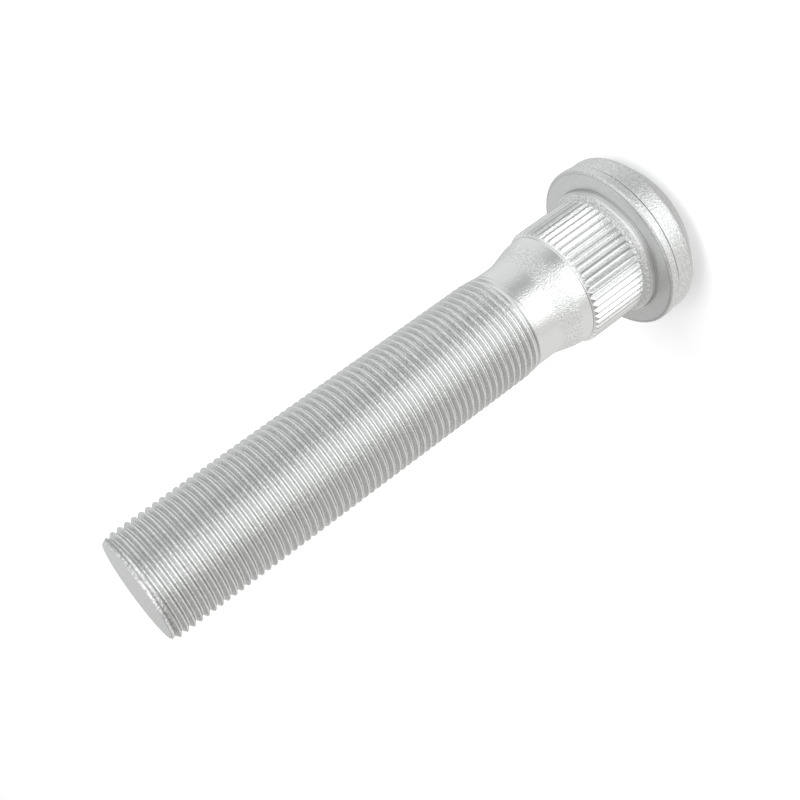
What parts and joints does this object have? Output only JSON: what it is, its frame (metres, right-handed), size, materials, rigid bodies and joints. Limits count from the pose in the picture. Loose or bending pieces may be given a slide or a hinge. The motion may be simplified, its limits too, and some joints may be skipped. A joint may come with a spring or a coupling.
{
  "type": "wheel stud",
  "caption": "Heavy wheel stud: stepped round head, collar, straight-knurled press-fit shank, tapered neck and a long metric fine thread.",
  "frame": {"origin": "centre of the head's flat outer face, which the stud stands on", "axes": "+Z along the stud's axis, from the head to the thread's end; X and Y are any two square directions across it"},
  "size_m": [0.0357, 0.0356, 0.125],
  "materials": {
    "zinc_steel": "bright zinc plating, satin"
  },
  "bodies": {
    "root": {"wheel_stud": "zinc_steel"}
  },
  "joints": []
}
